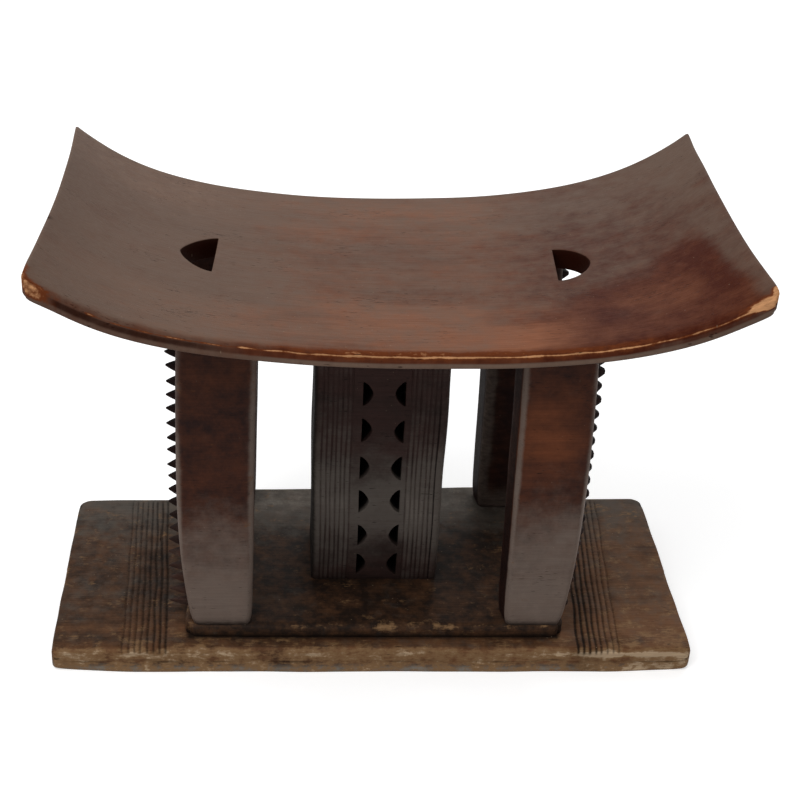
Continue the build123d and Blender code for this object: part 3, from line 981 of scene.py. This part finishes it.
def stretched_noise(tree, place, along, across, detail=3.0, roughness=0.55):
    """Noise drawn out along X: about `along` millimetres long and `across` wide."""
    scale = (1 / (along * MM), 1 / (across * MM), 1 / (across * MM))
    mapped = put(tree, "ShaderNodeMapping", {"Vector": place, "Scale": scale})
    settings = {"Vector": mapped.outputs[0], "Scale": 1.0, "Detail": detail, "Roughness": roughness}
    return put(tree, "ShaderNodeTexNoise", settings).outputs["Fac"]


def make_grain_group():
    """Wood grain that runs through the whole log along X: broad bands, fine fibres, and short dark pores."""
    group, given, out = new_group("wood_grain", {"Place": None}, ("Bands", "Fibres", "Pores"))
    place = given["Place"]
    bands = span_of(group, stretched_noise(group, place, 170, 9), 0.33, 0.68)
    fibres = stretched_noise(group, place, 32, 0.9, 4.0, 0.62)
    pores = stretched_noise(group, place, 7, 0.8, 1.0, 0.5)
    where = stretched_noise(group, place, 60, 22, 2.0, 0.5)
    gate = plus(group, pores, times(group, where, 0.45))
    group.links.new(bands, out["Bands"])
    group.links.new(span_of(group, fibres, 0.3, 0.7), out["Fibres"])
    group.links.new(span_of(group, gate, 0.93, 1.02), out["Pores"])
    return group


def make_wear_group():
    """Ragged wear: a smooth 0 to 1 mark is broken up by grain and grit.

    Rubbed is where the stain has thinned, and Bare is where pale wood shows.
    """
    group, given, out = new_group("ragged_wear", {"Mark": 0.0, "Place": None}, ("Rubbed", "Bare"))
    grit = stretched_noise(group, given["Place"], 6, 1.7, 4.0, 0.7)
    long = stretched_noise(group, given["Place"], 30, 9, 2.0, 0.5)
    uneven = plus(group, times(group, grit, 0.75), times(group, long, 0.55))
    level = plus(group, given["Mark"], less(group, uneven, 0.65))
    group.links.new(span_of(group, level, 0.16, 0.5), out["Rubbed"])
    group.links.new(span_of(group, level, 0.5, 0.78), out["Bare"])
    return group


def make_dirt_and_painted_light_group():
    """Soft grime and painted shade from a smooth mark, dust and painted sheen in cloudy patches, and a few
    pale specks.
    """
    group, given, out = new_group("dirt_with_painted_shade_and_sheen", {"Soil_and_shade": 0.0, "Dust_and_sheen": 0.0, "Place": None},
                                  ("Grime_and_shade", "Dust_and_sheen_layer", "Specks"))
    clouds = stretched_noise(group, given["Place"], 55, 26, 4.0, 0.6)
    fine = stretched_noise(group, given["Place"], 10, 3.0, 3.0, 0.65)
    grime_and_shade = plus(group, given["Soil_and_shade"], times(group, less(group, fine, 0.5), 0.5))
    dust_and_sheen_level = plus(group, given["Dust_and_sheen"], times(group, less(group, clouds, 0.5), 0.75))
    mapped = put(group, "ShaderNodeMapping", {"Vector": given["Place"], "Scale": (260, 330, 330)})
    cells = put(group, "ShaderNodeTexVoronoi", {"Vector": mapped.outputs[0], "Scale": 1.0, "Randomness": 1.0})
    dot = span_of(group, cells.outputs["Distance"], 0.16, 0.07)
    chances = put(group, "ShaderNodeSeparateColor", {0: cells.outputs["Color"]}).outputs
    seldom = span_of(group, chances[0], 0.93, 0.95)
    group.links.new(span_of(group, grime_and_shade, 0.12, 0.95), out["Grime_and_shade"])
    group.links.new(span_of(group, dust_and_sheen_level, 0.1, 1.0), out["Dust_and_sheen_layer"])
    group.links.new(times(group, dot, seldom), out["Specks"])
    return group


grain_group = make_grain_group()
wear_group = make_wear_group()
dirt_and_painted_light_group = make_dirt_and_painted_light_group()


def use_group(tree, group, inputs):
    """Outputs of a group node, with its inputs linked or set."""
    return put(tree, "ShaderNodeGroup", inputs, node_tree=group).outputs


def mark(tree, name):
    """One of the piece's own attributes."""
    return put(tree, "ShaderNodeAttribute", attribute_name=name).outputs["Fac"]


def darker(colour, share):
    """That colour at a share of its light."""
    return tuple(channel * share for channel in colour)


def make_wood(name, dark, warm, dusty_sheen, rubbed, bare, roughness=0.5, gloss=0.05, dust_sheen_share=0.85,
              speck_share=0.12, banding=0.2, streaks=0.08, mottling=0.6, flat_grain=1.0):
    """Stained and waxed wood of this log, with its wear, grime and painted shade, and dust and painted sheen.

    dark and warm are the stain in its darker and redder bands, dusty the colour of the layer of dust and
    painted sheen on it, and rubbed and bare the wood where the stain is thin or gone.  banding is the part
    that grain has in the stain's tone, streaks how strongly single fibres show, mottling how blotchy stain,
    dust, sheen and wear are, and flat_grain draws the grain out upright, so that it follows a sloping
    surface.  Where the mark of dust and sheen passes 1, a paler painted highlight is laid on.
    """
    material = bpy.data.materials.new(f"waxed_{name}")
    material.use_nodes = True
    tree = material.node_tree
    tree.nodes.clear()
    place = put(tree, "ShaderNodeTexCoord").outputs["Object"]
    place = put(tree, "ShaderNodeMapping", {"Vector": place, "Scale": (1, 1, flat_grain)}).outputs[0]
    grain = use_group(tree, grain_group, {"Place": place})
    fibres = grain["Fibres"]
    blotch_noise = {"Vector": place, "Scale": 80.0, "Detail": 5.0, "Roughness": 0.68}
    blotches = put(tree, "ShaderNodeTexNoise", blotch_noise).outputs["Color"]
    blotches = put(tree, "ShaderNodeSeparateColor", {0: blotches}).outputs

    def mottled(value, channel, share):
        """That value, raised and lowered by one channel of the blotches."""
        return plus(tree, value, times(tree, less(tree, blotches[channel], 0.5), mottling * share))

    worn = use_group(tree, wear_group, {"Mark": mottled(mark(tree, "wear"), 2, 0.9), "Place": place})
    dirt_and_painted_light = use_group(tree, dirt_and_painted_light_group, {"Soil_and_shade": mark(tree, "soil_and_shade"),
                                        "Dust_and_sheen": mottled(mark(tree, "dust_and_sheen"), 1, 1.1), "Place": place})

    # The stain, as a tone from dark to warm, and the layer of dust and painted sheen on it.
    patches = stretched_noise(tree, place, 110, 48, 3.0, 0.55)
    tone = plus(tree, times(tree, grain["Bands"], banding),
                times(tree, span_of(tree, patches, 0.3, 0.7), 0.8 - banding))
    tone = times(tree, plus(tree, times(tree, tone, 1.5), 0.4), mark(tree, "stain"))
    tone = reckon(tree, "MAXIMUM", reckon(tree, "MINIMUM", mottled(tone, 0, 1.1), 1.0), 0.0)
    colour = blend_of(tree, tone, dark, warm)
    lines = span_of(tree, fibres, 0.0, 1.0, 1 - streaks, 1 + 0.7 * streaks)
    lines = put(tree, "ShaderNodeCombineColor", {0: lines, 1: lines, 2: lines}).outputs[0]
    colour = blend_of(tree, 1.0, colour, lines, "MULTIPLY")
    share = span_of(tree, fibres, 0.0, 1.0, dust_sheen_share * 0.88, dust_sheen_share)
    colour = blend_of(tree, times(tree, dirt_and_painted_light["Dust_and_sheen_layer"], share), colour, dusty_sheen)
    # Where the mark passes 1, a paler colour is laid on as a painted highlight.
    pale_sheen = span_of(tree, mottled(mark(tree, "dust_and_sheen"), 1, 1.0), 0.95, 1.9)
    colour = blend_of(tree, pale_sheen, colour, darker(dusty_sheen, 2.2))
    # Worn wood, pores, grime with painted shade, and specks.
    colour = blend_of(tree, worn["Rubbed"], colour, rubbed)
    pale = blend_of(tree, fibres, darker(bare, 0.62), bare)
    colour = blend_of(tree, worn["Bare"], colour, pale)
    soot = darker(dark, 0.28)
    colour = blend_of(tree, times(tree, grain["Pores"], 0.75), colour, soot)
    colour = blend_of(tree, times(tree, dirt_and_painted_light["Grime_and_shade"], 0.95), colour, soot)
    colour = blend_of(tree, times(tree, dirt_and_painted_light["Specks"], speck_share), colour, (0.42, 0.33, 0.22))

    rough = reckon(tree, "ADD", span_of(tree, fibres, 0.0, 1.0, roughness + 0.07, roughness - 0.05),
                   times(tree, plus(tree, worn["Bare"], dirt_and_painted_light["Grime_and_shade"]), 0.22), clamp=True)
    relief = less(tree, times(tree, fibres, 0.35), grain["Pores"])
    relief = less(tree, relief, times(tree, worn["Bare"], 0.6))
    bump = put(tree, "ShaderNodeBump", {"Strength": 0.5, "Distance": 0.00022, "Height": relief}).outputs[0]
    wood = put(tree, "ShaderNodeBsdfPrincipled", {"Base Color": colour, "Roughness": rough, "Normal": bump,
                                                  "Specular IOR Level": gloss})
    put(tree, "ShaderNodeOutputMaterial", {"Surface": wood.outputs[0]})
    return material


seat_wood = make_wood("seat_wood", dark=(0.052, 0.0105, 0.0042), warm=(0.205, 0.075, 0.036),
                      dusty_sheen=(0.123, 0.083, 0.062), rubbed=(0.12, 0.03, 0.009), bare=(0.6, 0.3, 0.14),
                      roughness=0.42, gloss=0.025, dust_sheen_share=0.92, speck_share=0.2, banding=0.25,
                      streaks=0.12, mottling=0.65, flat_grain=0.3)
post_wood = make_wood("post_wood", dark=(0.0185, 0.0085, 0.0074), warm=(0.17, 0.052, 0.021),
                      dusty_sheen=(0.158, 0.121, 0.1), rubbed=(0.12, 0.05, 0.018), bare=(0.3, 0.19, 0.11),
                      roughness=0.46)
column_wood = make_wood("column_wood", dark=(0.014, 0.01, 0.0086), warm=(0.044, 0.021, 0.018),
                        dusty_sheen=(0.105, 0.09, 0.078), rubbed=(0.06, 0.045, 0.036), bare=(0.2, 0.14, 0.1))
base_wood = make_wood("base_wood", dark=(0.017, 0.0105, 0.0078), warm=(0.13, 0.059, 0.027),
                      dusty_sheen=(0.086, 0.075, 0.063), rubbed=(0.19, 0.108, 0.052), bare=(0.46, 0.33, 0.21),
                      dust_sheen_share=0.75, speck_share=0.35, banding=0.25, streaks=0.15, mottling=1.5)

# ---------------------------------------------------------------- the stool
make_seat(seat_wood)
make_base(base_wood)
make_plinth(base_wood)
make_column(column_wood)

# Reach of a post's inner side at its foot and head, and of its outer side at belly, foot and head.
left_shape = {"inner_foot": 98.4, "inner_head": 95.4, "belly": 155.5, "belly_height": 158,
              "foot": 146.4, "head": 153.0}
right_shape = {"inner_foot": 99, "inner_head": 93, "belly": 155.8, "belly_height": 138,
               "foot": 149.2, "head": 150.6}
back_right_shape = {**right_shape, "inner_foot": 95.5, "inner_head": 91}
# A tooth's size at its root, the share left at its tip, the power of its taper, and the end teeth's reach.
left_teeth = {"tall": 6.8, "wide": 7.6, "blunt": 0.1, "swell": 1.35, "low_tip": 163, "high_tip": 161.6}
right_teeth = {"tall": 9.2, "wide": 9.5, "blunt": 0.3, "swell": 1.6, "low_tip": 160, "high_tip": 158.4}
# Painted highlight on the inner arris and its width, and on the outer arris, lowest and highest of the grey
# painted floor reflection, the warm patch, and painted shade over the whole post.
left_looks = {"gleam": 0.95, "gleam_width": 3.2, "outer_gleam": 1, "film": (44, 225), "patch": 0, "soot": 0}
right_looks = {"gleam": 1, "gleam_width": 2.3, "outer_gleam": 1.25, "film": (60, 250), "patch": 1, "soot": 0}
back_looks = {"gleam": 1.3, "gleam_width": 6, "outer_gleam": 0.8, "film": (40, 90), "patch": 0, "soot": 0.55}
posts = (
    ("left_front_post", "front_left_post", -1, front_post_middle, left_shape, left_teeth, left_looks),
    ("right_front_post", "front_right_post", 1, front_post_middle, right_shape, right_teeth, right_looks),
    ("left_back_post", "back_left_post", -1, back_post_middle, left_shape, left_teeth, back_looks),
    ("right_back_post", "back_right_post", 1, back_post_middle, back_right_shape, right_teeth, back_looks),
)
for number, post in enumerate(posts, 1):
    make_post(*post, post_wood, 100 * number)
